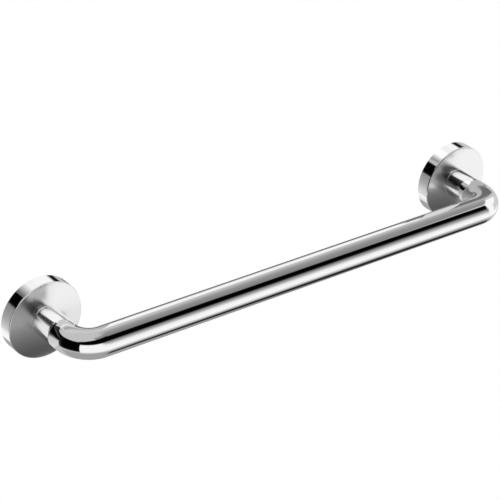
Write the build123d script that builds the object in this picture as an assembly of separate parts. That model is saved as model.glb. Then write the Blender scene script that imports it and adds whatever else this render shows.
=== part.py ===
"""Wall-mounted grab bar: a bent tube on two round rosettes that clamp onto hidden wall plates.

Frame: the origin is on the wall, midway between the rosettes. +X runs along the bar, +Z is up and +Y points
into the wall. Each leg is drawn in a leg frame of its own, with x along the bar, y up and z out of the wall,
where a turned piece's outline is given as pairs of radius and height above the wall.
"""

import math
import os

from build123d import *

# Bar
TUBE_D = 20.0
TUBE_WALL = 2.0
BEND_R = 16.0  # centreline of each elbow
BAR_STAND_OFF = 50.0  # wall to the bar's axis
ROSETTE_CENTRES = 346.0  # from one leg's axis to the other's
FOOT_BEVEL = 0.4

# Rosettes
ROSETTE_D = 54.0
ROSETTE_DEPTH = 10.0  # wall to the edge of the face
ROSETTE_CROWN = 0.15  # rise of the face, rolled a little by polishing
ROSETTE_EDGE_R = 0.6
ROSETTE_BACK_BEVEL = 0.3
RIM_WALL = 3.5
SPIGOT_HEIGHT = 2.0
SPIGOT_CLEARANCE = 0.1

# Leg screws, M8 with a button head
SCREW_D = 8.0
SCREW_LENGTH = 20.0
SCREW_HEAD_D = 14.0
SCREW_HEAD_HEIGHT = 4.4
SCREW_HEAD_LAND_D = 7.6  # flat around the socket
SCREW_HEAD_SIDE = 0.5  # upright band at the edge of the head
SCREW_DOME_RISE = 0.7  # how far the dome stands proud of a cone
SCREW_SOCKET = 5.0
SCREW_SOCKET_DEPTH = 2.6
SCREW_TIP_BEVEL = 0.8
SCREW_CLEARANCE = 0.2
THREAD_CLEARANCE = 0.05
HEAD_TO_WALL = 1.1

# End plugs, brazed into the legs
PLUG_TO_BEND = 5.0
PLUG_GAP = 0.3
BRAZE_GAP = 0.05
PLUG_BEVEL = 0.5

# Wall plates
PLATE_CLEARANCE = 0.2
PLATE_GAP = 0.5  # between the plate and the rosette's web
PLATE_BEVEL = 0.3
HEAD_CLEARANCE = 1.9
SLOT_WIDTH = 5.5
SLOT_LENGTH = 9.5
SLOT_HEAD_WIDTH = 10.0  # room for a wall screw's head
SLOT_FLOOR = 2.0  # metal under that head
GROOVE_DEPTH = 1.2

# Grub screws, M4 with a cone point
GRUB_D = 4.0
GRUB_LENGTH = 4.0
GRUB_SOCKET = 2.0
GRUB_SOCKET_DEPTH = 1.5
GRUB_TIP_D = 0.4
GRUB_BACK_METAL = 1.3  # rim between the grub screw's hole and the wall
GRUB_OFFSET = 0.3  # towards the room, so that the cone draws the rosette to the wall
GRUB_GAP = 0.05

# Places and sizes that follow
TUBE_BORE_R = TUBE_D / 2 - TUBE_WALL
ROSETTE_R = ROSETTE_D / 2
FACE_R = ROSETTE_R - ROSETTE_EDGE_R
CROWN_R = (FACE_R**2 + ROSETTE_CROWN**2) / (2 * ROSETTE_CROWN)
SEAT_R = TUBE_D / 2
POCKET_DEPTH = HEAD_TO_WALL + SCREW_HEAD_HEIGHT
POCKET_R = ROSETTE_R - RIM_WALL
PLATE_R = POCKET_R - PLATE_CLEARANCE
PLATE_THICKNESS = POCKET_DEPTH - PLATE_GAP
PLATE_HOLE_R = SCREW_HEAD_D / 2 + HEAD_CLEARANCE
GROOVE_FLOOR_R = PLATE_R - GROOVE_DEPTH
SLOT_HEIGHT = (PLATE_HOLE_R + GROOVE_FLOOR_R) / 2  # midway across the plate's ring
GRUB_HEIGHT = GRUB_BACK_METAL + GRUB_D / 2
GROOVE_HEIGHT = GRUB_HEIGHT - GRUB_OFFSET


def crown_height(radius):
    """Height of the rosette's domed face above the wall, at a radius from the leg's axis."""
    return ROSETTE_DEPTH + ROSETTE_CROWN - CROWN_R + math.sqrt(CROWN_R**2 - radius**2)


SEAT_HEIGHT = crown_height(SEAT_R)
SPIGOT_TOP = SEAT_HEIGHT + SPIGOT_HEIGHT
PLUG_BOTTOM = SPIGOT_TOP + PLUG_GAP
PLUG_TOP = BAR_STAND_OFF - BEND_R - PLUG_TO_BEND


def onto_wall(piece, side=0):
    """Turns a piece from its leg frame to the wall; side is -1 for the left leg and 1 for the right."""
    return Pos(side * ROSETTE_CENTRES / 2, 0, 0) * Rot(90, 0, 0) * piece


def lines(*points):
    """Straight lines through points of radius and height."""
    return Polyline(*[(radius, 0, height) for radius, height in points])


def arc(*points):
    """Arc through three points of radius and height."""
    return ThreePointArc(*[(radius, 0, height) for radius, height in points])


def turned(*outline):
    """Solid of revolution about the leg's axis, from the lines and arcs of a closed outline."""
    return revolve(make_face(outline), Axis.Z)


def hex_socket(across_flats, depth):
    """Cutter for a hexagon socket that opens at z = 0."""
    return extrude(RegularPolygon(across_flats / 2, 6, major_radius=False), depth)


def bar_tube():
    """One tube, bent twice, with its two feet squared off and lightly bevelled."""
    leg = ROSETTE_CENTRES / 2
    route = FilletPolyline(
        (-leg, 0, SEAT_HEIGHT),
        (-leg, 0, BAR_STAND_OFF),
        (leg, 0, BAR_STAND_OFF),
        (leg, 0, SEAT_HEIGHT),
        radius=BEND_R,
    )
    start = Plane(origin=route @ 0, z_dir=route % 0)
    outside = sweep(start * Circle(TUBE_D / 2), path=route)
    inside = sweep(start * Circle(TUBE_BORE_R), path=route)
    foot_edges = outside.edges().filter_by(GeomType.CIRCLE).group_by(Axis.Z)[0]
    return chamfer(foot_edges, FOOT_BEVEL) - inside


def end_plug():
    """Threaded bush in the foot of a leg, drawn with a plain bore."""
    radius = TUBE_BORE_R - BRAZE_GAP
    bore_r = SCREW_D / 2 + THREAD_CLEARANCE
    return turned(
        lines(
            (bore_r + PLUG_BEVEL, PLUG_BOTTOM),
            (radius - PLUG_BEVEL, PLUG_BOTTOM),
            (radius, PLUG_BOTTOM + PLUG_BEVEL),
            (radius, PLUG_TOP - PLUG_BEVEL),
            (radius - PLUG_BEVEL, PLUG_TOP),
            (bore_r, PLUG_TOP),
            (bore_r, PLUG_BOTTOM + PLUG_BEVEL),
            (bore_r + PLUG_BEVEL, PLUG_BOTTOM),
        )
    )


def rosette():
    """Turned cup with a crowned face, a seat and spigot for the tube, and a cross-drilled rim."""
    screw_hole_r = SCREW_D / 2 + SCREW_CLEARANCE
    spigot_r = TUBE_BORE_R - SPIGOT_CLEARANCE
    edge_foot = ROSETTE_DEPTH - ROSETTE_EDGE_R
    edge_diagonal = ROSETTE_EDGE_R * math.sin(math.radians(45))
    crown_middle = (FACE_R + SEAT_R) / 2
    edge = arc(
        (ROSETTE_R, edge_foot),
        (FACE_R + edge_diagonal, edge_foot + edge_diagonal),
        (FACE_R, ROSETTE_DEPTH),
    )
    face = arc(
        (FACE_R, ROSETTE_DEPTH),
        (crown_middle, crown_height(crown_middle)),
        (SEAT_R, SEAT_HEIGHT),
    )
    inside_and_rim = lines(
        (SEAT_R, SEAT_HEIGHT),
        (spigot_r, SEAT_HEIGHT),
        (spigot_r, SPIGOT_TOP),
        (screw_hole_r, SPIGOT_TOP),
        (screw_hole_r, POCKET_DEPTH),
        (POCKET_R, POCKET_DEPTH),
        (POCKET_R, 0),
        (ROSETTE_R - ROSETTE_BACK_BEVEL, 0),
        (ROSETTE_R, ROSETTE_BACK_BEVEL),
        (ROSETTE_R, edge_foot),
    )
    grub_hole = Cylinder(
        GRUB_D / 2 + THREAD_CLEARANCE,
        ROSETTE_R,
        rotation=(90, 0, 0),
        align=(Align.CENTER, Align.CENTER, Align.MIN),
    )
    return turned(edge, face, inside_and_rim) - Pos(0, 0, GRUB_HEIGHT) * grub_hole


def leg_screw():
    """Button-head screw that comes from the wall side, with its head in the rosette's pocket."""
    radius = SCREW_D / 2
    head_r = SCREW_HEAD_D / 2
    land_r = SCREW_HEAD_LAND_D / 2
    side_top = POCKET_DEPTH - SCREW_HEAD_SIDE
    tip = POCKET_DEPTH + SCREW_LENGTH
    dome_run = head_r - land_r
    dome_fall = side_top - HEAD_TO_WALL
    dome_slant = math.hypot(dome_run, dome_fall)
    dome = arc(
        (land_r, HEAD_TO_WALL),
        (
            (land_r + head_r) / 2 + SCREW_DOME_RISE * dome_fall / dome_slant,
            (HEAD_TO_WALL + side_top) / 2 - SCREW_DOME_RISE * dome_run / dome_slant,
        ),
        (head_r, side_top),
    )
    shank = lines(
        (head_r, side_top),
        (head_r, POCKET_DEPTH),
        (radius, POCKET_DEPTH),
        (radius, tip - SCREW_TIP_BEVEL),
        (radius - SCREW_TIP_BEVEL, tip),
        (0, tip),
        (0, HEAD_TO_WALL),
        (land_r, HEAD_TO_WALL),
    )
    socket = Pos(0, 0, HEAD_TO_WALL) * hex_socket(SCREW_SOCKET, SCREW_SOCKET_DEPTH)
    return turned(dome, shank) - socket


def wall_plate():
    """Disc that is screwed to the wall first, with a groove round its edge for the grub screw."""
    disc = turned(
        lines(
            (PLATE_HOLE_R, 0),
            (PLATE_R - PLATE_BEVEL, 0),
            (PLATE_R, PLATE_BEVEL),
            (PLATE_R, GROOVE_HEIGHT - GROOVE_DEPTH),
            (GROOVE_FLOOR_R, GROOVE_HEIGHT),
            (PLATE_R, GROOVE_HEIGHT + GROOVE_DEPTH),
            (PLATE_R, PLATE_THICKNESS - PLATE_BEVEL),
            (PLATE_R - PLATE_BEVEL, PLATE_THICKNESS),
            (PLATE_HOLE_R, PLATE_THICKNESS),
            (PLATE_HOLE_R, 0),
        )
    )
    slot_travel = SLOT_LENGTH - SLOT_WIDTH
    slot = extrude(SlotCenterToCenter(slot_travel, SLOT_WIDTH), PLATE_THICKNESS)
    head_room = extrude(SlotCenterToCenter(slot_travel, SLOT_HEAD_WIDTH), PLATE_THICKNESS)
    cutter = slot + Pos(0, 0, SLOT_FLOOR) * head_room
    return disc - Pos(0, SLOT_HEIGHT, 0) * cutter - Pos(0, -SLOT_HEIGHT, 0) * cutter


def grub_screw():
    """Cone-point grub screw, pointing up from below into the wall plate's groove."""
    radius = GRUB_D / 2
    tip_r = GRUB_TIP_D / 2
    body = turned(
        lines(
            (0, 0),
            (radius, 0),
            (radius, GRUB_LENGTH - radius + tip_r),
            (tip_r, GRUB_LENGTH),
            (0, GRUB_LENGTH),
            (0, 0),
        )
    )
    screw = body - hex_socket(GRUB_SOCKET, GRUB_SOCKET_DEPTH)
    tip_from_axis = GROOVE_FLOOR_R + GRUB_OFFSET + GRUB_GAP + tip_r
    return Pos(0, -(tip_from_axis + GRUB_LENGTH), GRUB_HEIGHT) * Rot(-90, 0, 0) * screw


os.makedirs("parts", exist_ok=True)
export_step(onto_wall(bar_tube()), "parts/bar_tube.step")
for name, side in (("left", -1), ("right", 1)):
    export_step(onto_wall(end_plug(), side), f"parts/end_plug_{name}.step")
    export_step(onto_wall(rosette(), side), f"parts/rosette_{name}.step")
    export_step(onto_wall(wall_plate(), side), f"parts/wall_plate_{name}.step")
leg_screws = [onto_wall(leg_screw(), side) for side in (-1, 1)]
export_step(Compound(children=leg_screws), "parts/leg_screws.step")
grub_screws = [onto_wall(grub_screw(), side) for side in (-1, 1)]
export_step(Compound(children=grub_screws), "parts/grub_screws.step")
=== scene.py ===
import math

import bmesh
import bpy
import numpy as np
from mathutils import Matrix, Vector


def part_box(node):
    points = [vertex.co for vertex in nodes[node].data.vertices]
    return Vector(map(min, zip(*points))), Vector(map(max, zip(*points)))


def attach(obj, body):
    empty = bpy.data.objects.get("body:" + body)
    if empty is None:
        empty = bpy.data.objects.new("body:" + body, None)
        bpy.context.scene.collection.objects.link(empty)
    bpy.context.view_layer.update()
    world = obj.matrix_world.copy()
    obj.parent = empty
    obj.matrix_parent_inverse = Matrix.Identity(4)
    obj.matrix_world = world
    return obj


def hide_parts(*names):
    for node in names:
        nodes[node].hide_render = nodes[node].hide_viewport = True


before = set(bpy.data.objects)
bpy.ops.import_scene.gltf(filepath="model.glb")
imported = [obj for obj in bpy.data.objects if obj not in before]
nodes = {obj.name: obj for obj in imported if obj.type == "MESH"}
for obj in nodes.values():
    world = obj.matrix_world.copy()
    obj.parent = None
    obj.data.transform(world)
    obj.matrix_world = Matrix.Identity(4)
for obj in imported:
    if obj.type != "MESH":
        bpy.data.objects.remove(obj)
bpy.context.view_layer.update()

scene = bpy.context.scene


# Bar
# One round brass tube, bent twice with a tight elbow at each end, then polished and chrome plated as a
# whole. Each foot is cut square, lightly bevelled, and drawn down onto the rosette's seat by the screw
# inside.

tube_low, tube_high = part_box("bar_tube")
rosette_low, rosette_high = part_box("rosette_right")
leg_x = (rosette_low.x + rosette_high.x) / 2
tube_r = tube_high.x - leg_x
bar_y = tube_low.y + tube_r
seat_height = -tube_high.y
bend_r = 0.016
tube_wall = 0.002
foot_bevel = 0.0004
noise_low = 0.3
noise_high = 0.7


def metal(name, finish):
    """A new metallic material. finish gets its node tree and its shader, and adds the surface's detail."""
    made = bpy.data.materials.new(name)
    made.use_nodes = True
    shader = made.node_tree.nodes["Principled BSDF"]
    shader.inputs["Metallic"].default_value = 1.0
    finish(made.node_tree, shader)
    return made


def noise(tree, place, scale, detail):
    """Noise texture on the given coordinates."""
    made = tree.nodes.new("ShaderNodeTexNoise")
    made.inputs["Scale"].default_value = scale
    made.inputs["Detail"].default_value = detail
    tree.links.new(place, made.inputs["Vector"])
    return made.outputs["Fac"]


def ranged(tree, value, low, high):
    """Maps the span that a noise mostly fills onto the range of a roughness."""
    made = tree.nodes.new("ShaderNodeMapRange")
    made.inputs["From Min"].default_value = noise_low
    made.inputs["From Max"].default_value = noise_high
    made.inputs["To Min"].default_value = low
    made.inputs["To Max"].default_value = high
    tree.links.new(value, made.inputs["Value"])
    return made.outputs["Result"]


def tinted(tree, value, dark, light):
    """Colour between two tints of one metal."""
    made = tree.nodes.new("ShaderNodeValToRGB")
    made.color_ramp.elements[0].position = noise_low
    made.color_ramp.elements[0].color = (*dark, 1.0)
    made.color_ramp.elements[1].position = noise_high
    made.color_ramp.elements[1].color = (*light, 1.0)
    tree.links.new(value, made.inputs["Fac"])
    return made.outputs["Color"]


def toned(tree, shader, pattern, tints, roughness):
    """Lets one pattern drift a metal's tint and its roughness together, each between two ends."""
    tree.links.new(tinted(tree, pattern, *tints), shader.inputs["Base Color"])
    tree.links.new(ranged(tree, pattern, *roughness), shader.inputs["Roughness"])


def bumped(tree, shader, height, depth):
    """Bump whose full height range stands for a depth in metres."""
    made = tree.nodes.new("ShaderNodeBump")
    made.inputs["Strength"].default_value = 1.0
    made.inputs["Distance"].default_value = depth
    tree.links.new(height, made.inputs["Height"])
    tree.links.new(made.outputs["Normal"], shader.inputs["Normal"])


def chrome_plate(*roughness):
    """Finish of a chrome plate: a faint haze, over the low waves that polishing leaves in the brass."""

    def finish(tree, shader):
        place = tree.nodes.new("ShaderNodeTexCoord").outputs["Object"]
        haze = noise(tree, place, scale=35.0, detail=3.0)
        toned(tree, shader, haze, tints=((0.9, 0.9, 0.905), (0.94, 0.94, 0.942)), roughness=roughness)
        bumped(tree, shader, noise(tree, place, scale=220.0, detail=2.0), depth=0.0000004)

    return finish


def tube_tree():
    """Geometry nodes that sweep a circle along a path."""
    tree = bpy.data.node_groups.new("bent_tube", "GeometryNodeTree")
    tree.interface.new_socket("Path", in_out="INPUT", socket_type="NodeSocketGeometry")
    tree.interface.new_socket("Tube Radius", in_out="INPUT", socket_type="NodeSocketFloat")
    tree.interface.new_socket("Sides", in_out="INPUT", socket_type="NodeSocketInt")
    tree.interface.new_socket("Finish", in_out="INPUT", socket_type="NodeSocketMaterial")
    tree.interface.new_socket("Tube", in_out="OUTPUT", socket_type="NodeSocketGeometry")
    sizes = tree.nodes.new("NodeGroupInput")
    result = tree.nodes.new("NodeGroupOutput")
    path = tree.nodes.new("GeometryNodeMeshToCurve")
    section = tree.nodes.new("GeometryNodeCurvePrimitiveCircle")
    skin = tree.nodes.new("GeometryNodeCurveToMesh")
    real = tree.nodes.new("GeometryNodeRealizeInstances")
    plated = tree.nodes.new("GeometryNodeSetMaterial")
    tree.links.new(sizes.outputs["Path"], path.inputs["Mesh"])
    tree.links.new(sizes.outputs["Tube Radius"], section.inputs["Radius"])
    tree.links.new(sizes.outputs["Sides"], section.inputs["Resolution"])
    tree.links.new(path.outputs["Curve"], skin.inputs["Curve"])
    tree.links.new(section.outputs["Curve"], skin.inputs["Profile Curve"])
    tree.links.new(skin.outputs["Mesh"], real.inputs["Geometry"])
    tree.links.new(real.outputs["Geometry"], plated.inputs["Geometry"])
    tree.links.new(sizes.outputs["Finish"], plated.inputs["Material"])
    tree.links.new(plated.outputs["Geometry"], result.inputs["Tube"])
    return tree


def half_path(sign):
    """Centre line from one foot through its elbow. A point close to each change keeps the straight runs
    truly straight when they are shaded smooth."""
    hold = 0.0006
    steps = 64
    centre = Vector((sign * (leg_x - bend_r), bar_y + bend_r, 0))
    turns = [math.radians(90 * step / steps) for step in range(steps + 1)]
    return [
        Vector((sign * leg_x, -seat_height, 0)),
        Vector((sign * leg_x, -seat_height - foot_bevel - hold, 0)),
        Vector((sign * leg_x, centre.y + hold, 0)),
        *[centre + bend_r * Vector((sign * math.cos(turn), -math.sin(turn), 0)) for turn in turns],
        Vector((centre.x - sign * hold, bar_y, 0)),
    ]


def worker_of(name, mesh):
    """A passing object that carries modifiers until its mesh is baked."""
    worker = bpy.data.objects.new(name, mesh)
    scene.collection.objects.link(worker)
    return worker


def with_nodes(worker, tree, **sizes):
    """Puts a geometry node tree on a worker and sets its inputs by name."""
    modifier = worker.modifiers.new(tree.name, "NODES")
    modifier.node_group = tree
    sockets = {item.name: item.identifier for item in tree.interface.items_tree if item.in_out == "INPUT"}
    for name, value in sizes.items():
        modifier[sockets[name.replace("_", " ")]] = value


def baked(worker):
    """Plain mesh of a worker with its modifiers applied; the worker is removed."""
    finished = worker.evaluated_get(bpy.context.evaluated_depsgraph_get())
    mesh = bpy.data.meshes.new_from_object(finished)
    bpy.data.objects.remove(worker)
    return mesh


def smooth(mesh, angle):
    """Shades a mesh smooth, with the edges sharper than the angle left crisp."""
    mesh.shade_smooth()
    mesh.set_sharp_from_angle(angle=math.radians(angle))


def shown(name, mesh, material, slot, *replaced):
    """A finished piece. Its mesh holds its place, it rides on the one body and it stands for CAD nodes."""
    piece = bpy.data.objects.new(name, mesh)
    scene.collection.objects.link(piece)
    mesh.materials.clear()
    mesh.materials.append(material)
    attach(piece, "root")
    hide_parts(*replaced)


chrome = metal("polished_chrome", chrome_plate(0.012, 0.03))
path_points = half_path(-1) + half_path(1)[::-1]
tube_path = bpy.data.meshes.new("bar_path")
tube_path.from_pydata(path_points, [(step, step + 1) for step in range(len(path_points) - 1)], [])
tube_worker = worker_of("bar_worker", tube_path)
with_nodes(tube_worker, tube_tree(), Tube_Radius=tube_r, Sides=160, Finish=chrome)
wall = tube_worker.modifiers.new("tube_wall", "SOLIDIFY")
wall.thickness = tube_wall
wall.offset = -1.0
feet = tube_worker.modifiers.new("foot_bevel", "BEVEL")
feet.width = foot_bevel
feet.segments = 3
feet.limit_method = "ANGLE"
feet.angle_limit = math.radians(60)
tube_mesh = baked(tube_worker)
smooth(tube_mesh, angle=40)
shown("bar", tube_mesh, chrome, "polished_chrome", "bar_tube")


# End plugs
# Turned brass bushes, threaded through the middle and brazed into the bar's feet before it is polished.
# They stay bare brass, dulled by the brazing heat, with fine rings left by the lathe.


def leg_centred(tree):
    """Object coordinates with the nearer leg's axis at x = 0, so that one material fits both ends."""
    place = tree.nodes.new("ShaderNodeTexCoord")
    parts = tree.nodes.new("ShaderNodeSeparateXYZ")
    fold = tree.nodes.new("ShaderNodeMath")
    fold.operation = "ABSOLUTE"
    centre = tree.nodes.new("ShaderNodeMath")
    centre.operation = "SUBTRACT"
    centre.inputs[1].default_value = leg_x
    joined = tree.nodes.new("ShaderNodeCombineXYZ")
    tree.links.new(place.outputs["Object"], parts.inputs[0])
    tree.links.new(parts.outputs["X"], fold.inputs[0])
    tree.links.new(fold.outputs[0], centre.inputs[0])
    tree.links.new(centre.outputs[0], joined.inputs["X"])
    tree.links.new(parts.outputs["Y"], joined.inputs["Y"])
    tree.links.new(parts.outputs["Z"], joined.inputs["Z"])
    return joined.outputs[0]


def lathe_rings(tree, place):
    """Fine rings round a leg's axis, as a facing tool leaves them."""
    made = tree.nodes.new("ShaderNodeTexWave")
    made.wave_type = "RINGS"
    made.rings_direction = "Y"
    made.inputs["Scale"].default_value = 900.0
    made.inputs["Distortion"].default_value = 0.6
    tree.links.new(place, made.inputs["Vector"])
    return made.outputs["Fac"]


def brazed(tree, shader):
    place = leg_centred(tree)
    stain = noise(tree, place, scale=240.0, detail=5.0)
    toned(tree, shader, stain, tints=((0.5, 0.34, 0.15), (0.74, 0.56, 0.28)), roughness=(0.28, 0.45))
    bumped(tree, shader, lathe_rings(tree, place), depth=0.00002)


def coated(name, material):
    """Gives a piece that keeps its CAD mesh its one material."""
    nodes[name].data.materials.clear()
    nodes[name].data.materials.append(material)


brass = metal("brazed_brass", brazed)
for side in ("left", "right"):
    coated("end_plug_" + side, brass)


# Rosettes
# Turned brass cups, chrome plated, each with a faintly crowned satin face, a polished rim, a seat and a
# spigot for the leg, and a pocket behind that drops over the wall plate. The grub screw's hole is drilled
# up through the rim.

rosette_r = (rosette_high.x - rosette_low.x) / 2
spigot_top = -rosette_low.y
rosette_depth = 0.010
rosette_edge = 0.0006
rosette_crown = 0.00015
face_r = rosette_r - rosette_edge
satin_facing = -0.999
rosette_back_bevel = 0.0003
rim_wall = 0.0035
pocket_depth = 0.0055
screw_hole_r = 0.0042
spigot_clearance = 0.0001
spigot_r = tube_r - tube_wall - spigot_clearance
grub_low, grub_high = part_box("grub_screws")
grub_r = grub_high.x - leg_x
grub_height = -(grub_low.y + grub_high.y) / 2
grub_clearance = 0.00005
grub_hole_r = grub_r + grub_clearance
drill_reach = 1.2 * rosette_r


def turned(name, outline, around):
    """Mesh of revolution about Z. outline goes once round the section, as pairs of radius and height. A
    radius may be a function of the angle, for a hexagon. An outline that starts and ends at radius 0 closes
    to poles."""
    work = bmesh.new()
    rings = []
    for radius, height in outline:
        if radius == 0:
            rings.append([work.verts.new((0, 0, height))])
            continue
        ring = []
        for step in range(around):
            angle = 2 * math.pi * step / around
            reach = radius(angle) if callable(radius) else radius
            ring.append(work.verts.new((reach * math.cos(angle), reach * math.sin(angle), height)))
        rings.append(ring)
    closed = outline[0][0] != 0
    pairs = list(zip(rings, rings[1:] + rings[:1])) if closed else list(zip(rings, rings[1:]))
    for near, far in pairs:
        for step in range(around):
            after = (step + 1) % around
            near_side = [near[step % len(near)], near[after % len(near)]]
            far_side = [far[after % len(far)], far[step % len(far)]]
            work.faces.new(dict.fromkeys(near_side + far_side))
    bmesh.ops.recalc_face_normals(work, faces=work.faces)
    mesh = bpy.data.meshes.new(name)
    work.to_mesh(mesh)
    work.free()
    return mesh


def arc(centre, radius, start, stop, steps):
    """Points of an arc in a turned outline; angles in degrees from the radius axis."""
    turns = [math.radians(start + (stop - start) * step / steps) for step in range(steps + 1)]
    return [(centre[0] + radius * math.cos(turn), centre[1] + radius * math.sin(turn)) for turn in turns]


def on_wall(side):
    """Turns a piece that was made along Z so that it stands out from the wall on one leg's axis."""
    return Matrix.Translation((side * leg_x, 0, 0)) @ Matrix.Rotation(math.radians(90), 4, "X")


def crown_height(radius):
    """Height of the crowned face over the wall at a radius."""
    crown_r = (face_r**2 + rosette_crown**2) / (2 * rosette_crown)
    return rosette_depth + rosette_crown - crown_r + math.sqrt(crown_r**2 - radius**2)


def rosette_outline():
    """Section of a cup, from the pocket round the rim and over the face to the spigot and its hole. A ring
    close to each edge keeps the surfaces beside it flat when they are shaded smooth."""
    edge_foot = rosette_depth - rosette_edge
    hold = 0.00008
    steps = 24
    crown_radii = [face_r - hold]
    crown_radii += [face_r + (tube_r - face_r) * step / steps for step in range(1, steps + 1)]
    return [
        (rosette_r - rim_wall, pocket_depth),
        (rosette_r - rim_wall, 0.0),
        (rosette_r - rosette_back_bevel, 0.0),
        (rosette_r, rosette_back_bevel),
        (rosette_r, rosette_back_bevel + hold),
        (rosette_r, edge_foot - hold),
        *arc((face_r, edge_foot), rosette_edge, start=0, stop=90, steps=12),
        *[(radius, crown_height(radius)) for radius in crown_radii],
        (spigot_r, seat_height),
        (spigot_r, spigot_top),
        (screw_hole_r, spigot_top),
        (screw_hole_r, pocket_depth),
    ]


satin_chrome = metal("satin_chrome", chrome_plate(0.21, 0.23))
for side, sign in (("left", -1), ("right", 1)):
    cup = turned("rosette_cup_" + side, rosette_outline(), around=288)
    cup.transform(on_wall(sign))
    drill_outline = [(0, -drill_reach), (grub_hole_r, -drill_reach), (grub_hole_r, 0), (0, 0)]
    drill = turned("grub_drill", drill_outline, around=48)
    drill.transform(Matrix.Translation((sign * leg_x, -grub_height, 0)))
    drill_worker = worker_of("grub_drill", drill)
    cup_worker = worker_of("rosette_worker", cup)
    drilled = cup_worker.modifiers.new("grub_hole", "BOOLEAN")
    drilled.operation = "DIFFERENCE"
    drilled.solver = "EXACT"
    drilled.object = drill_worker
    cup_mesh = baked(cup_worker)
    bpy.data.objects.remove(drill_worker)
    smooth(cup_mesh, angle=30)
    shown("rosette_cup_" + side, cup_mesh, chrome, "polished_chrome", "rosette_" + side)
    cup_mesh.materials.append(satin_chrome)
    for facet in cup_mesh.polygons:
        facet.material_index = int(facet.normal.y < satin_facing)


# Leg screws
# M8 button-head screws of zinc-plated steel, put in from the wall side, that pull each rosette onto its
# leg. The heads are cold formed with a hexagon socket, and the thread is rolled.

screw_r = 0.004
screw_length = 0.020
screw_head_r = 0.007
screw_head_side = 0.0005
screw_land_r = 0.0038
screw_dome_rise = 0.0007
screw_socket = 0.005
screw_socket_depth = 0.0026
screw_socket_mouth = 0.00025
screw_cone_depth = 0.0006
socket_cone_share = 0.6
screw_tip_bevel = 0.0008
screw_pitch = 0.00125
head_to_wall = 0.0011


def hexagon(across_flats):
    """Radius of a hexagon socket as a function of the angle, with a corner at angle 0."""
    flat = math.radians(60)
    return lambda angle: across_flats / 2 / math.cos(angle % flat - flat / 2)


def bowed(start, stop, rise, steps):
    """Points of a shallow bow between two points of an outline; the bow stands to the right of the way."""
    run, fall = stop[0] - start[0], stop[1] - start[1]
    slant = math.hypot(run, fall)
    points = []
    for step in range(steps + 1):
        share = step / steps
        lift = 4 * rise * share * (1 - share) / slant
        points.append((start[0] + run * share + fall * lift, start[1] + fall * share - run * lift))
    return points


def shank(radius, start, stop, pitch):
    """Rings along a shank, close enough for a thread to be cut into them."""
    rows_per_turn = 12
    rows = math.ceil((stop - start) / pitch * rows_per_turn)
    return [(radius, start + (stop - start) * row / rows) for row in range(rows + 1)]


def calc(tree, operation, *values):
    """Math node on sockets or plain numbers."""
    made = tree.nodes.new("ShaderNodeMath")
    made.operation = operation
    for socket, value in zip(made.inputs, values):
        if isinstance(value, (int, float)):
            socket.default_value = value
        else:
            tree.links.new(value, socket)
    return made.outputs[0]


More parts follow.
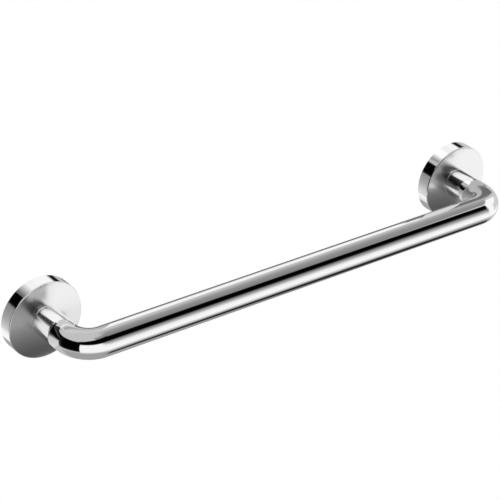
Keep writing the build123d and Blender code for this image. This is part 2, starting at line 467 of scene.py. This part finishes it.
def screw_tree():
    """Geometry nodes that cut a right-hand thread into a screw made along Z, and set a row of them."""
    thread_flat = 0.12
    depth_per_pitch = 0.6
    shank_tolerance = 0.00001
    tree = bpy.data.node_groups.new("threaded_screws", "GeometryNodeTree")
    tree.interface.new_socket("Blank", in_out="INPUT", socket_type="NodeSocketGeometry")
    for name in ("Pitch", "Thread Radius", "Thread Start", "Thread End"):
        tree.interface.new_socket(name, in_out="INPUT", socket_type="NodeSocketFloat")
    for name in ("First Place", "Step", "Turn"):
        tree.interface.new_socket(name, in_out="INPUT", socket_type="NodeSocketVector")
    tree.interface.new_socket("Count", in_out="INPUT", socket_type="NodeSocketInt")
    tree.interface.new_socket("Finish", in_out="INPUT", socket_type="NodeSocketMaterial")
    tree.interface.new_socket("Screws", in_out="OUTPUT", socket_type="NodeSocketGeometry")
    sizes = tree.nodes.new("NodeGroupInput").outputs
    place = tree.nodes.new("GeometryNodeInputPosition").outputs[0]
    parts = tree.nodes.new("ShaderNodeSeparateXYZ")
    tree.links.new(place, parts.inputs[0])
    x, y, z = parts.outputs
    square = calc(tree, "ADD", calc(tree, "MULTIPLY", x, x), calc(tree, "MULTIPLY", y, y))
    radius = calc(tree, "SQRT", square)
    turn = calc(tree, "DIVIDE", calc(tree, "ARCTAN2", y, x), 2 * math.pi)
    phase = calc(tree, "FRACT", calc(tree, "SUBTRACT", calc(tree, "DIVIDE", z, sizes["Pitch"]), turn))
    ridge = calc(tree, "MULTIPLY", calc(tree, "PINGPONG", phase, 0.5), 2.0)
    flank = tree.nodes.new("ShaderNodeMapRange")
    flank.inputs["From Min"].default_value = thread_flat
    flank.inputs["From Max"].default_value = 1 - thread_flat
    flank.inputs["To Min"].default_value = 1.0
    flank.inputs["To Max"].default_value = 0.0
    tree.links.new(ridge, flank.inputs["Value"])
    thread_depth = calc(tree, "MULTIPLY", sizes["Pitch"], depth_per_pitch)
    run_in = calc(tree, "DIVIDE", calc(tree, "SUBTRACT", z, sizes["Thread Start"]), sizes["Pitch"])
    run_out = calc(tree, "DIVIDE", calc(tree, "SUBTRACT", sizes["Thread End"], z), sizes["Pitch"])
    fade = calc(tree, "MAXIMUM", calc(tree, "MINIMUM", calc(tree, "MINIMUM", run_in, run_out), 1.0), 0.0)
    cut = calc(tree, "MULTIPLY", calc(tree, "MULTIPLY", flank.outputs["Result"], thread_depth), fade)
    share = calc(tree, "DIVIDE", calc(tree, "MULTIPLY", cut, -1.0), radius)
    inward = tree.nodes.new("ShaderNodeCombineXYZ")
    tree.links.new(calc(tree, "MULTIPLY", x, share), inward.inputs["X"])
    tree.links.new(calc(tree, "MULTIPLY", y, share), inward.inputs["Y"])
    on_shank = calc(tree, "COMPARE", radius, sizes["Thread Radius"], shank_tolerance)
    thread = tree.nodes.new("GeometryNodeSetPosition")
    tree.links.new(sizes["Blank"], thread.inputs["Geometry"])
    tree.links.new(on_shank, thread.inputs["Selection"])
    tree.links.new(inward.outputs[0], thread.inputs["Offset"])
    row = tree.nodes.new("GeometryNodeMeshLine")
    tree.links.new(sizes["Count"], row.inputs["Count"])
    tree.links.new(sizes["First Place"], row.inputs["Start Location"])
    tree.links.new(sizes["Step"], row.inputs["Offset"])
    turned_round = tree.nodes.new("FunctionNodeEulerToRotation")
    tree.links.new(sizes["Turn"], turned_round.inputs[0])
    set_in = tree.nodes.new("GeometryNodeInstanceOnPoints")
    tree.links.new(row.outputs["Mesh"], set_in.inputs["Points"])
    tree.links.new(thread.outputs["Geometry"], set_in.inputs["Instance"])
    tree.links.new(turned_round.outputs[0], set_in.inputs["Rotation"])
    real = tree.nodes.new("GeometryNodeRealizeInstances")
    tree.links.new(set_in.outputs["Instances"], real.inputs["Geometry"])
    plated = tree.nodes.new("GeometryNodeSetMaterial")
    tree.links.new(real.outputs["Geometry"], plated.inputs["Geometry"])
    tree.links.new(sizes["Finish"], plated.inputs["Material"])
    result = tree.nodes.new("NodeGroupOutput")
    tree.links.new(plated.outputs["Geometry"], result.inputs["Screws"])
    return tree


def zinc_plated(tree, shader):
    place = leg_centred(tree)
    bloom = noise(tree, place, scale=300.0, detail=4.0)
    toned(tree, shader, bloom, tints=((0.5, 0.52, 0.56), (0.68, 0.69, 0.7)), roughness=(0.22, 0.36))
    bumped(tree, shader, noise(tree, place, scale=2500.0, detail=2.0), depth=0.00001)


screws = screw_tree()
zinc = metal("zinc_plated_steel", zinc_plated)
screw_tip = pocket_depth + screw_length
thread_end = screw_tip - screw_tip_bevel
socket_floor = head_to_wall + screw_socket_depth
head_side_start = pocket_depth - screw_head_side
screw_blank = turned(
    "leg_screw_blank",
    [
        (0, socket_floor + screw_cone_depth),
        (hexagon(socket_cone_share * screw_socket), socket_floor),
        (hexagon(screw_socket), socket_floor),
        (hexagon(screw_socket), head_to_wall + screw_socket_mouth),
        (hexagon(screw_socket + 2 * screw_socket_mouth), head_to_wall),
        *bowed((screw_land_r, head_to_wall), (screw_head_r, head_side_start), screw_dome_rise, steps=16),
        (screw_head_r, pocket_depth),
        *shank(screw_r, pocket_depth, thread_end, screw_pitch),
        (screw_r - screw_tip_bevel, screw_tip),
        (0, screw_tip),
    ],
    around=96,
)
screw_worker = worker_of("leg_screw_worker", screw_blank)
with_nodes(
    screw_worker,
    screws,
    Pitch=screw_pitch,
    Thread_Radius=screw_r,
    Thread_Start=pocket_depth + screw_pitch,
    Thread_End=thread_end,
    First_Place=(-leg_x, 0.0, 0.0),
    Step=(2 * leg_x, 0.0, 0.0),
    Turn=(math.radians(90), 0.0, 0.0),
    Count=2,
    Finish=zinc,
)
screw_mesh = baked(screw_worker)
smooth(screw_mesh, angle=35)
shown("button_head_screws", screw_mesh, zinc, "zinc_plated_steel", "leg_screws")


# Wall plates
# Turned steel discs, zinc plated, that are screwed to the wall through two slots each before the bar goes
# on. The back was faced on a lathe, so fine rings run round its centre. The plating is a soft bluish grey.


def faced_and_plated(tree, shader):
    place = leg_centred(tree)
    bloom = noise(tree, place, scale=160.0, detail=4.0)
    toned(tree, shader, bloom, tints=((0.46, 0.48, 0.51), (0.6, 0.62, 0.64)), roughness=(0.3, 0.44))
    bumped(tree, shader, lathe_rings(tree, place), depth=0.00002)


plated_steel = metal("plated_plate_steel", faced_and_plated)
for side in ("left", "right"):
    coated("wall_plate_" + side, plated_steel)


# Grub screws
# M4 stainless screws with a cone point and a hexagon socket, turned in from below through each rosette's
# rim. The cone bears in the wall plate's groove and draws the rosette tight against the wall.

grub_pitch = 0.0007
grub_length = grub_high.z - grub_low.z
grub_socket = 0.002
grub_socket_depth = 0.0015
grub_socket_mouth = 0.0001
grub_cone_depth = 0.0003
grub_tip_r = 0.0002
grub_bevel = 0.0003


def drawn_stainless(tree, shader):
    place = leg_centred(tree)
    grain = noise(tree, place, scale=900.0, detail=3.0)
    toned(tree, shader, grain, tints=((0.42, 0.41, 0.4), (0.58, 0.57, 0.55)), roughness=(0.2, 0.34))
    bumped(tree, shader, grain, depth=0.000008)


stainless = metal("drawn_stainless_steel", drawn_stainless)
cone_start = grub_length - grub_r + grub_tip_r
grub_blank = turned(
    "grub_screw_blank",
    [
        (0, grub_socket_depth + grub_cone_depth),
        (hexagon(socket_cone_share * grub_socket), grub_socket_depth),
        (hexagon(grub_socket), grub_socket_depth),
        (hexagon(grub_socket), grub_socket_mouth),
        (hexagon(grub_socket + 2 * grub_socket_mouth), 0.0),
        (grub_r - grub_bevel, 0.0),
        *shank(grub_r, grub_bevel, cone_start, grub_pitch),
        (grub_tip_r, grub_length),
        (0, grub_length),
    ],
    around=72,
)
grub_worker = worker_of("grub_screw_worker", grub_blank)
with_nodes(
    grub_worker,
    screws,
    Pitch=grub_pitch,
    Thread_Radius=grub_r,
    Thread_Start=0.0,
    Thread_End=cone_start + grub_pitch,
    First_Place=(-leg_x, -grub_height, grub_low.z),
    Step=(2 * leg_x, 0.0, 0.0),
    Turn=(0.0, 0.0, 0.0),
    Count=2,
    Finish=stainless,
)
grub_mesh = baked(grub_worker)
smooth(grub_mesh, angle=35)
shown("cone_point_screws", grub_mesh, stainless, "stainless_steel", "grub_screws")


# Camera
# Long lens from the bar's left, above and in front, held a little off level, as the photograph shows it.

view_azimuth = math.radians(-38.754)
view_elevation = math.radians(30.063)
view_roll = math.radians(3.304)
view_distance = 1.52017
view_target = Vector((0.003814, 0.009083, -0.012979))
photo_side = 500
photo_focal = 2228.67
back = Vector(
    (
        math.sin(view_azimuth) * math.cos(view_elevation),
        -math.cos(view_azimuth) * math.cos(view_elevation),
        math.sin(view_elevation),
    )
)
level_right = Vector((math.cos(view_azimuth), math.sin(view_azimuth), 0))
level_up = back.cross(level_right)
right = math.cos(view_roll) * level_right + math.sin(view_roll) * level_up
up = -math.sin(view_roll) * level_right + math.cos(view_roll) * level_up
lens = bpy.data.cameras.new("photo_camera")
lens.sensor_width = 36.0
lens.lens = photo_focal * lens.sensor_width / photo_side
lens.clip_start = 0.05
lens.clip_end = 50.0
camera = bpy.data.objects.new("photo_camera", lens)
eye = view_target + view_distance * back
camera.matrix_world = Matrix.Translation(eye) @ Matrix((right, up, back)).transposed().to_4x4()
scene.collection.objects.link(camera)
scene.camera = camera


# Studio
# A white room with a pale floor and soft lamps. Far round the bar hangs a tent of grey cloth, with black
# flags and with openings to the white room, and small cards stand by the legs. Tent and cards are glowing
# sheets that carry painted reflections and some painted shade, and only mirror reflections see them.

room_white = 245.8
cloth_grey = 192.0
floor_height = -4.0
floor_half = 30.0
floor_lift = 0.44
tent_reach = 6.0
tent_step = 1.5
tent_over_floor = 0.97
sky_lamp = 0.6
sky_lift = 0.4
scene.view_settings.view_transform = "Standard"


def glow_of(grey):
    """Light that polished chrome shows as a picture grey, by the sRGB curve, where 255 is white."""
    chrome_share = 0.92
    return ((grey / 255 + 0.055) / 1.055) ** 2.4 / chrome_share


def tone_paint():
    """Plain light of the strength that a mesh holds in its own tone attribute."""
    made = bpy.data.materials.new("tone_paint")
    made.use_nodes = True
    tree = made.node_tree
    tree.nodes.remove(tree.nodes["Principled BSDF"])
    tone = tree.nodes.new("ShaderNodeAttribute")
    tone.attribute_name = "tone"
    glow = tree.nodes.new("ShaderNodeEmission")
    tree.links.new(tone.outputs["Fac"], glow.inputs["Strength"])
    tree.links.new(glow.outputs[0], tree.nodes["Material Output"].inputs["Surface"])
    return made


sheet_paint = tone_paint()


def mirrored_sheet(name, places, greys):
    """A painted sheet from a grid of places and greys, which only mirror reflections see. It has no face
    where all corners are as white as the room."""
    faintest = 0.1
    rows, columns = greys.shape
    painted = (np.abs(greys - room_white) > faintest).ravel()
    corners = [row * columns + column for row in range(rows - 1) for column in range(columns - 1)]
    faces = [(first, first + 1, first + columns + 1, first + columns) for first in corners]
    faces = [face for face in faces if painted[list(face)].any()]
    mesh = bpy.data.meshes.new(name)
    mesh.from_pydata(np.stack(places, axis=2).reshape(-1, 3).tolist(), [], faces)
    mesh.attributes.new("tone", "FLOAT", "POINT").data.foreach_set("value", glow_of(greys).ravel())
    mesh.materials.append(sheet_paint)
    sheet = bpy.data.objects.new(name, mesh)
    sheet.visible_camera = False
    sheet.visible_diffuse = False
    sheet.visible_shadow = False
    scene.collection.objects.link(sheet)


turns = np.arange(-180, 180 + tent_step, tent_step)
bearing, rise = np.meshgrid(turns, turns[np.abs(turns) <= 90])
tent_grey = np.full(bearing.shape, cloth_grey)


def eased(share):
    """A share from 0 to 1 that starts and ends softly."""
    share = np.clip(share, 0, 1)
    return share * share * (3 - 2 * share)


def paint(grey, *edges):
    """Paints a patch of the tent with a picture grey, or with one for each place. Each edge starts at a
    bearing and an elevation in degrees and fades over a width. The edges go round anticlockwise, and the
    patch bulges everywhere. Bearing 0 is towards the room and 90 towards the bar's right."""
    cover = np.ones_like(tent_grey)
    for (x, y, width), (next_x, next_y, _) in zip(edges, edges[1:] + edges[:1]):
        across = (next_x - x) * (rise - y) - (next_y - y) * (bearing - x)
        cover *= eased(across / math.hypot(next_x - x, next_y - y) / width + 0.5)
    tent_grey[:] += (grey - tent_grey) * cover


# Roof, darker over the right half
roof = np.interp(bearing, (60, 100, 130), (131, 150, 190))
paint(roof, (-4, 50, 4), (125, 40, 22), (135, 70, 14), (-4, 70, 9))
# Grey ground cloth
paint(158, (-181, -95, 1), (181, -95, 1), (181, -40, 8), (-181, -40, 1))
# Back wall on the left, paler towards its foot, with a gap under it
back_wall = np.interp(rise, (-30, -14, 0, 14), (205, 168, 148, 135))
paint(back_wall, (-181, -40, 6), (-100, -40, 8), (-100, 30, 6), (-181, 30, 1))
paint(room_white, (-176, -52, 5), (-152, -47, 5), (-141, -31, 5), (-172, -41, 8))
# Opening at the back right, which the cloth closes softly round the back
paint(room_white, (128, 12, 6), (181, 18, 1), (181, 56, 4), (158, 52, 12), (132, 38, 5))
faded = np.interp(bearing, (-181, -170, -162, -150), (235, 205, 178, 130)) + 6 * (rise - 42)
paint(faded, (-181, 38, 3), (-150, 34, 6), (-150, 50, 5), (-181, 54, 1))
# Openings in front and on the right
paint(room_white, (-56, -36, 20), (50, -36, 1.5), (50, 30, 2), (-56, 30, 1.5))
paint(room_white, (48, -33, 12), (104, -33, 8), (100, 43, 6), (58, 43, 4))
# Graded cloth over the front opening, with painted shade that darkens it under the flag
fall = np.interp(rise + 0.5 * (bearing - 36), (-15, -5, 5, 15, 20, 29), (room_white, 235, 182, 139, 107, 8))
paint(fall, (6, -18, 2), (50, -18, 3), (50, 34, 2), (6, 34, 16))
# Black flag on the left, which narrows towards the back
paint(2, (-116, -30, 14), (-56, -30, 1.5), (-56, 37, 5), (-116, 32, 28))
flag_foot = ((-151, 29, 1.5), (-139, 16, 1.5), (-129, 7, 5), (-112, 5, 6))
flag_top = ((-112, 31, 3), (-137, 35, 1.5), (-151, 37, 1.5))
paint(3, *flag_foot, *flag_top)
# Black flag above the front opening
paint(0, (-62, 21, 9), (22, 27, 1), (22, 57.5, 5), (-20, 53.5, 5), (-62, 40, 4))
paint(0, (18, 28, 6), (52, 26, 4), (60, 39, 6), (43, 57, 5), (18, 57.5, 1))
# Dark post and grey screen at the back right
paint(5, (135.5, -0.1, 8), (143.5, 4.1, 7), (131, 27.1, 10), (123, 22.9, 7))
screen = np.interp(rise, (-20, -5, 5), (70, 105, 126))
paint(screen, (140, -31, 4), (160, -31, 6), (160, 7, 18), (140, 7, 5))
# Dark strip on the ground in front
paint(20, (40, -60.5, 9), (102, -55.5, 40), (102, -46, 8), (44, -48.5, 22))
# Grey veil in the opening on the right
paint(205, (74, -16, 8), (112, -16, 8), (112, 10, 8), (74, 10, 8))
# The cloth's two ends meet at the back in one tone
tent_grey += (tent_grey[:, :1] - tent_grey) * eased((bearing - 160) / 20)

# The tent is a ball, cut off flat just over the floor
drop = np.maximum(np.sin(np.radians(-rise)), 0.01)
reach = np.minimum(tent_reach, tent_over_floor * -floor_height / drop)
level = reach * np.cos(np.radians(rise))
tent_places = (
    level * np.sin(np.radians(bearing)),
    -level * np.cos(np.radians(bearing)),
    reach * np.sin(np.radians(rise)),
)
mirrored_sheet("painted_tent", tent_places, tent_grey)


def leg_card(name, rosette_x, away, across, heights, greys):
    """A small card by a leg, parallel to the wall and some way out from it, with painted reflections and
    some painted shade for the leg, the elbow and the rosette's face. Its two sides and its heights count
    from the leg's axis, and its greys are graded between the heights."""
    columns = 3
    rows = 31
    spread = rosette_x + np.linspace(*across, columns)
    card_x, card_z = np.meshgrid(spread, np.linspace(heights[0], heights[-1], rows))
    mirrored_sheet(name, (card_x, np.full_like(card_x, -away), card_z), np.interp(card_z, heights, greys))


# Most cards are two sheets, each painted with the reflection that its own side should give. The face and the
# leg's foot mirror the one on the wall side, the elbow and the bar the one on the room side.
wall_side = 0.0278
room_side = 0.0282
close_to_wall = 0.005
# By the left leg, painted reflections: white, black and grey from high above down to its top, then left,
# under and right of it. The dark cards left of and under it paint shade on the face beside the foot and over
# its lower left.
leg_card("left_upper_wall", -leg_x, wall_side, (-0.014, 0.034), (0.027, 0.056), (255, 255))
leg_card("left_upper_room", -leg_x, room_side, (-0.014, 0.034), (0.027, 0.056), (200, 200))
leg_card("left_lower_wall", -leg_x, wall_side, (-0.006, 0.012), (0.0145, 0.027), (8, 8))
leg_card("left_lower_room", -leg_x, room_side, (-0.006, 0.034), (0.0145, 0.020, 0.027), (240, 155, 200))
leg_card("left_over_wall", -leg_x, wall_side, (-0.006, 0.0115), (0.0102, 0.0145), (190, 190))
leg_card("left_over_room", -leg_x, room_side, (-0.006, 0.0115), (0.0102, 0.0145), (200, 200))
side_heights = (-0.011, 0.005, 0.009, 0.0145)
leg_card("left_side_wall", -leg_x, wall_side, (-0.03, -0.004), side_heights, (155, 145, 70, 20))
side_heights = (-0.011, 0.001, 0.005, 0.009)
leg_card("left_side_room", -leg_x, room_side, (-0.03, -0.004), side_heights, (215, 200, 5, 0))
leg_card("left_under_wall", -leg_x, wall_side, (-0.03, 0.026), (-0.042, -0.011), (55, 140))
leg_card("left_under_room", -leg_x, room_side, (-0.03, 0.026), (-0.042, -0.011), (190, 190))
leg_card("left_right_wall", -leg_x, wall_side, (0.0115, 0.045), (-0.011, 0.0145), (240, 240))
leg_card("left_right_room", -leg_x, room_side, (0.0115, 0.045), (-0.011, 0.0145), (120, 120))
# By the right leg, painted reflections: the same above it, then high on its left with a grey card behind,
# left and under it. The dark cards left of and under it paint shade on the face beside the foot and over its
# lower left.
leg_card("right_upper_wall", leg_x, wall_side, (-0.014, 0.044), (0.031, 0.056), (255, 255))
leg_card("right_upper_room", leg_x, room_side, (-0.014, 0.044), (0.031, 0.056), (110, 190))
leg_card("right_lower_wall", leg_x, wall_side, (-0.014, 0.044), (0.016, 0.031), (20, 20))
leg_card("right_lower_room", leg_x, room_side, (-0.014, 0.044), (0.016, 0.019, 0.031), (190, 105, 110))
leg_card("right_over_wall", leg_x, wall_side, (-0.0145, 0.0115), (0.0102, 0.016), (170, 170))
leg_card("right_over_room", leg_x, room_side, (-0.0145, 0.0115), (0.0102, 0.016), (180, 180))
leg_card("right_left_wall", leg_x, wall_side, (-0.048, -0.0145), (0.012, 0.044), (2, 2))
leg_card("right_left_room", leg_x, room_side, (-0.048, -0.0145), (0.012, 0.044), (215, 215))
leg_card("right_back_card", leg_x, close_to_wall, (-0.046, -0.026), (0.022, 0.036), (120, 120))
leg_card("right_side_wall", leg_x, wall_side, (-0.0165, -0.0095), (-0.011, 0.012), (175, 160))
leg_card("right_far_wall", leg_x, wall_side, (-0.048, -0.0165), (-0.011, 0.012), (115, 60))
leg_card("right_side_room", leg_x, room_side, (-0.022, -0.0095), (-0.011, 0.009), (215, 100))
leg_card("right_far_room", leg_x, room_side, (-0.048, -0.022), (-0.011, 0.012), (130, 150))
leg_card("right_under_wall", leg_x, wall_side, (-0.03, 0.026), (-0.042, -0.011), (50, 120))
leg_card("right_under_room", leg_x, room_side, (-0.03, 0.026), (-0.042, -0.011), (190, 190))


def in_view(tree):
    """1 for what the camera sees, straight, in a mirror or through the floor, and 0 for what only lights."""
    path = tree.nodes.new("ShaderNodeLightPath")
    seen = calc(tree, "MAXIMUM", path.outputs["Is Camera Ray"], path.outputs["Is Glossy Ray"])
    return calc(tree, "MAXIMUM", seen, path.outputs["Is Transmission Ray"])


def floor_finish():
    """Pale matt floor that is seen a little lifted towards white, and that is clear from below."""
    made = bpy.data.materials.new("pale_floor")
    made.use_nodes = True
    tree = made.node_tree
    matt = tree.nodes["Principled BSDF"]
    matt.inputs["Base Color"].default_value = (0.9, 0.9, 0.9, 1.0)
    matt.inputs["Roughness"].default_value = 0.9
    lift = tree.nodes.new("ShaderNodeEmission")
    tree.links.new(calc(tree, "MULTIPLY", in_view(tree), floor_lift), lift.inputs["Strength"])
    lifted = tree.nodes.new("ShaderNodeAddShader")
    tree.links.new(matt.outputs[0], lifted.inputs[0])
    tree.links.new(lift.outputs[0], lifted.inputs[1])
    clear = tree.nodes.new("ShaderNodeBsdfTransparent")
    side = tree.nodes.new("ShaderNodeNewGeometry")
    either = tree.nodes.new("ShaderNodeMixShader")
    tree.links.new(side.outputs["Backfacing"], either.inputs["Fac"])
    tree.links.new(lifted.outputs[0], either.inputs[1])
    tree.links.new(clear.outputs[0], either.inputs[2])
    tree.links.new(either.outputs[0], tree.nodes["Material Output"].inputs["Surface"])
    return made


floor_mesh = bpy.data.meshes.new("floor")
floor_quarters = [(-1, -1), (1, -1), (1, 1), (-1, 1)]
floor_corners = [(floor_half * x, floor_half * y, floor_height) for x, y in floor_quarters]
floor_mesh.from_pydata(floor_corners, [], [(0, 1, 2, 3)])
floor_mesh.materials.append(floor_finish())
floor = bpy.data.objects.new("floor", floor_mesh)
scene.collection.objects.link(floor)

world = bpy.data.worlds.new("white_studio")
world.use_nodes = True
sky_light = world.node_tree.nodes["Background"]
sky_seen = calc(world.node_tree, "MULTIPLY", in_view(world.node_tree), sky_lift)
sky_level = calc(world.node_tree, "ADD", sky_seen, sky_lamp)
sky_light.inputs["Color"].default_value = (1.0, 1.0, 1.0, 1.0)
world.node_tree.links.new(sky_level, sky_light.inputs["Strength"])
scene.world = world


def soft_lamp(name, place, side, power):
    """Square area lamp aimed at the bar, which mirrors don't see."""
    light = bpy.data.lights.new(name, "AREA")
    light.size = side
    light.energy = power
    lamp = bpy.data.objects.new(name, light)
    lamp.location = place
    lamp.rotation_mode = "QUATERNION"
    lamp.rotation_quaternion = Vector(place).to_track_quat("Z", "Y")
    lamp.visible_glossy = False
    scene.collection.objects.link(lamp)


soft_lamp("key_lamp", (-1.2, -1.8, 2.6), side=1.6, power=30.0)
soft_lamp("fill_lamp", (2.0, 1.2, 2.2), side=2.0, power=16.0)
